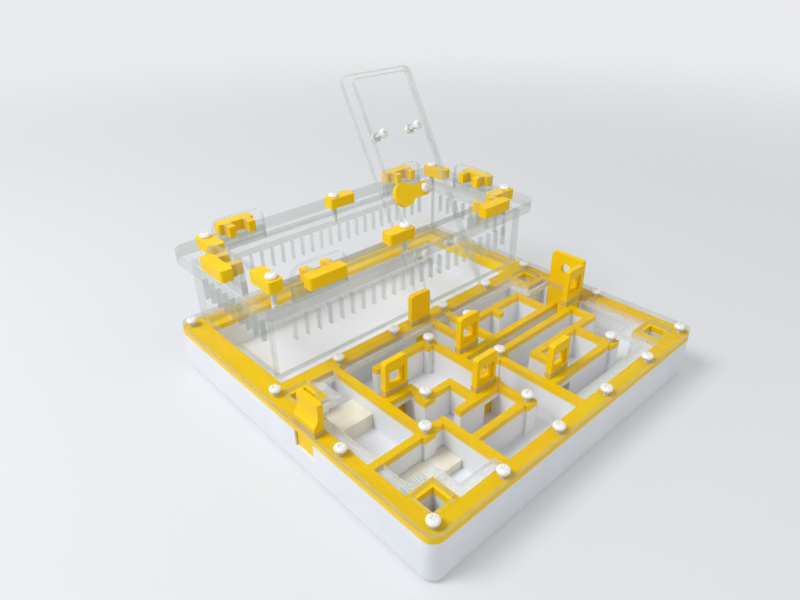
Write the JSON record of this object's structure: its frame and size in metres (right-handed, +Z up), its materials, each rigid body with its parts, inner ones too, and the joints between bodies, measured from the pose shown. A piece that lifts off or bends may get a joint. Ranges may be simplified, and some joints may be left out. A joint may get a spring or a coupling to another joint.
{
  "type": "ant habitat",
  "caption": "Square ant nest of white chambers under a clear screwed cover, with yellow sliding gates and a clear foraging box with turn latches and a lift-off lid.",
  "frame": {"origin": "on the surface that the tray stands on, under the middle of the whole object's box", "axes": "+Z up; +X along the foraging box, to the right as seen from the nest's front; +Y from the nest towards the foraging box"},
  "size_m": [0.2, 0.202, 0.1438],
  "materials": {
    "white_plastic": "moulded white ABS, fine satin",
    "yellow_plastic": "yellow ABS, satin gloss",
    "clear_acrylic": "laser-cut clear acrylic with polished edges",
    "nylon": "natural nylon, slightly translucent",
    "plaster": "cast plaster, fine pores",
    "sponge": "fine open-cell sponge"
  },
  "bodies": {
    "habitat": {"base_tray": "white_plastic", "reservoir_sponge": "sponge", "nest_floor": "white_plastic", "nest_rim": "white_plastic", "nest_walls": "white_plastic", "nest_walls_right": "white_plastic", "moisture_pad_left": "plaster", "moisture_pad_front": "plaster", "top_frame": "yellow_plastic", "cover_plate": "clear_acrylic", "water_strip_left": "clear_acrylic", "water_strip_front": "clear_acrylic", "water_strip_right": "clear_acrylic", "water_strip_back": "clear_acrylic", "cover_screws": "nylon", "box_front_wall": "clear_acrylic", "box_back_wall": "clear_acrylic", "box_left_wall": "clear_acrylic", "box_right_wall": "clear_acrylic", "flange_lower": "clear_acrylic", "flange_upper": "clear_acrylic", "latch_screws": "nylon"},
    "gate_west": {"gate_west": "yellow_plastic"},
    "gate_middle": {"gate_middle": "yellow_plastic"},
    "gate_south": {"gate_south": "yellow_plastic"},
    "gate_east": {"gate_east": "yellow_plastic"},
    "gate_yard": {"gate_yard": "yellow_plastic"},
    "gate_right": {"gate_right": "yellow_plastic"},
    "port_slide_left": {"port_slide_left": "yellow_plastic"},
    "port_slide_right": {"port_slide_right": "yellow_plastic"},
    "clip_front_left": {"clip_front_left": "yellow_plastic"},
    "clip_front_right": {"clip_front_right": "yellow_plastic"},
    "clip_back_left": {"clip_back_left": "yellow_plastic"},
    "clip_back_right": {"clip_back_right": "yellow_plastic"},
    "clip_left": {"clip_left": "yellow_plastic"},
    "clip_right": {"clip_right": "yellow_plastic"},
    "latch_front_left": {"latch_front_left": "yellow_plastic"},
    "latch_front_middle": {"latch_front_middle": "yellow_plastic"},
    "latch_front_right": {"latch_front_right": "yellow_plastic"},
    "latch_back_left": {"latch_back_left": "yellow_plastic"},
    "latch_back_middle": {"latch_back_middle": "yellow_plastic"},
    "latch_back_right": {"latch_back_right": "yellow_plastic"},
    "lid": {"lid_plate": "clear_acrylic", "lid_plug": "clear_acrylic", "lid_screws": "nylon", "lid_nuts": "nylon", "feed_cover_screw": "nylon"},
    "feed_cover": {"feed_cover": "yellow_plastic"}
  },
  "joints": [
    {"name": "gate_west_slide", "type": "slide", "parent": "habitat", "child": "gate_west", "axis": [0, 0, 1], "range_m": [0, 0.012]},
    {"name": "gate_middle_slide", "type": "slide", "parent": "habitat", "child": "gate_middle", "axis": [0, 0, 1], "range_m": [-0.002, 0.01]},
    {"name": "gate_south_slide", "type": "slide", "parent": "habitat", "child": "gate_south", "axis": [0, 0, 1], "range_m": [0, 0.012]},
    {"name": "gate_east_slide", "type": "slide", "parent": "habitat", "child": "gate_east", "axis": [0, 0, 1], "range_m": [0, 0.012]},
    {"name": "gate_yard_slide", "type": "slide", "parent": "habitat", "child": "gate_yard", "axis": [0, 0, 1], "range_m": [0, 0.012]},
    {"name": "gate_right_slide", "type": "slide", "parent": "habitat", "child": "gate_right", "axis": [0, 0, 1], "range_m": [-0.004, 0.008]},
    {"name": "port_slide_left_slide", "type": "slide", "parent": "habitat", "child": "port_slide_left", "axis": [0, 0, 1], "range_m": [0, 0.008]},
    {"name": "port_slide_right_slide", "type": "slide", "parent": "habitat", "child": "port_slide_right", "axis": [0, 0, 1], "range_m": [0, 0.014]},
    {"name": "clip_front_left_slide", "type": "slide", "parent": "habitat", "child": "clip_front_left", "axis": [0, -1, 0], "range_m": [0, 0.01]},
    {"name": "clip_front_right_slide", "type": "slide", "parent": "habitat", "child": "clip_front_right", "axis": [0, -1, 0], "range_m": [0, 0.01]},
    {"name": "clip_back_left_slide", "type": "slide", "parent": "habitat", "child": "clip_back_left", "axis": [0, 1, 0], "range_m": [0, 0.01]},
    {"name": "clip_back_right_slide", "type": "slide", "parent": "habitat", "child": "clip_back_right", "axis": [0, 1, 0], "range_m": [0, 0.01]},
    {"name": "clip_left_slide", "type": "slide", "parent": "habitat", "child": "clip_left", "axis": [-1, 0, 0], "range_m": [0, 0.01]},
    {"name": "clip_right_slide", "type": "slide", "parent": "habitat", "child": "clip_right", "axis": [1, 0, 0], "range_m": [0, 0.01]},
    {"name": "latch_front_left_turn", "type": "hinge", "parent": "habitat", "child": "latch_front_left", "pos_m": [-0.0816, 0.02242, 0.07605], "axis": [0, 0, 1], "range_deg": [-90, 0]},
    {"name": "latch_front_middle_turn", "type": "hinge", "parent": "habitat", "child": "latch_front_middle", "pos_m": [0.002, 0.02242, 0.07605], "axis": [0, 0, 1], "range_deg": [-90, 0]},
    {"name": "latch_front_right_turn", "type": "hinge", "parent": "habitat", "child": "latch_front_right", "pos_m": [0.0856, 0.02242, 0.07605], "axis": [0, 0, 1], "range_deg": [-90, 0]},
    {"name": "latch_back_left_turn", "type": "hinge", "parent": "habitat", "child": "latch_back_left", "pos_m": [-0.0816, 0.08512, 0.07605], "axis": [0, 0, 1], "range_deg": [0, 90]},
    {"name": "latch_back_middle_turn", "type": "hinge", "parent": "habitat", "child": "latch_back_middle", "pos_m": [0.002, 0.08512, 0.07605], "axis": [0, 0, 1], "range_deg": [-90, 0]},
    {"name": "latch_back_right_turn", "type": "hinge", "parent": "habitat", "child": "latch_back_right", "pos_m": [0.0856, 0.08512, 0.07605], "axis": [0, 0, 1], "range_deg": [-90, 0]},
    {"name": "lid_lift", "type": "slide", "parent": "habitat", "child": "lid", "axis": [0, 0.4813, 0.8766], "range_m": [0, 0.15]},
    {"name": "feed_cover_turn", "type": "hinge", "parent": "lid", "child": "feed_cover", "pos_m": [0.04951, 0.05681, 0.07947], "axis": [0, -0.8766, 0.4813], "range_deg": [0, 90]}
  ]
}
